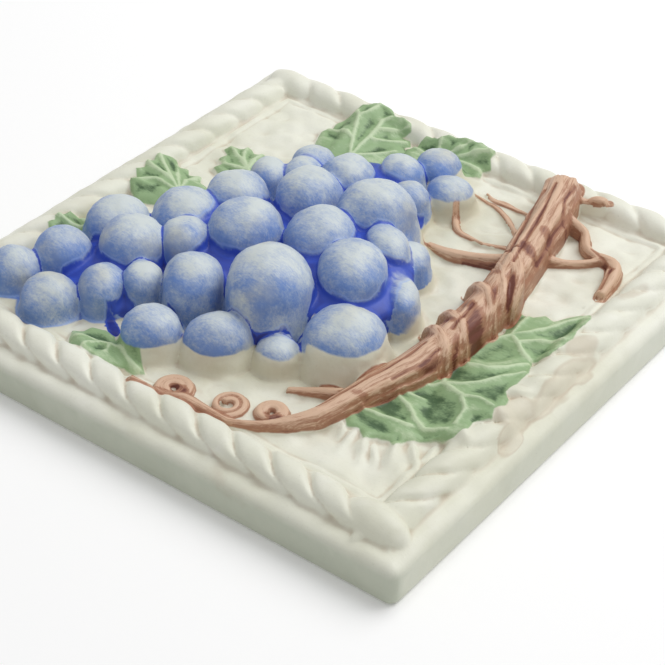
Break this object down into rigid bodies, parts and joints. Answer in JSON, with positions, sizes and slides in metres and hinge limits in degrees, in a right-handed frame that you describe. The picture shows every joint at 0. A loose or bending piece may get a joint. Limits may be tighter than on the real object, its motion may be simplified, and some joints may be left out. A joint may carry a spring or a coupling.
{
  "type": "relief wall tile",
  "caption": "Square glazed earthenware wall tile with a moulded rope border round a raised bunch of grapes, a gnarled vine and toothed leaves.",
  "frame": {"origin": "middle of the flat back face, where the tile beds against a wall", "axes": "+Z out of the relief, +Y the top of the tile as it hangs, +X its right side seen from the front"},
  "size_m": [0.2, 0.2, 0.0403],
  "materials": {
    "cream_glaze": "satin to gloss fired glaze, hand painted in blue, green and brown over cream"
  },
  "bodies": {
    "root": {"tile": "cream_glaze"}
  },
  "joints": []
}
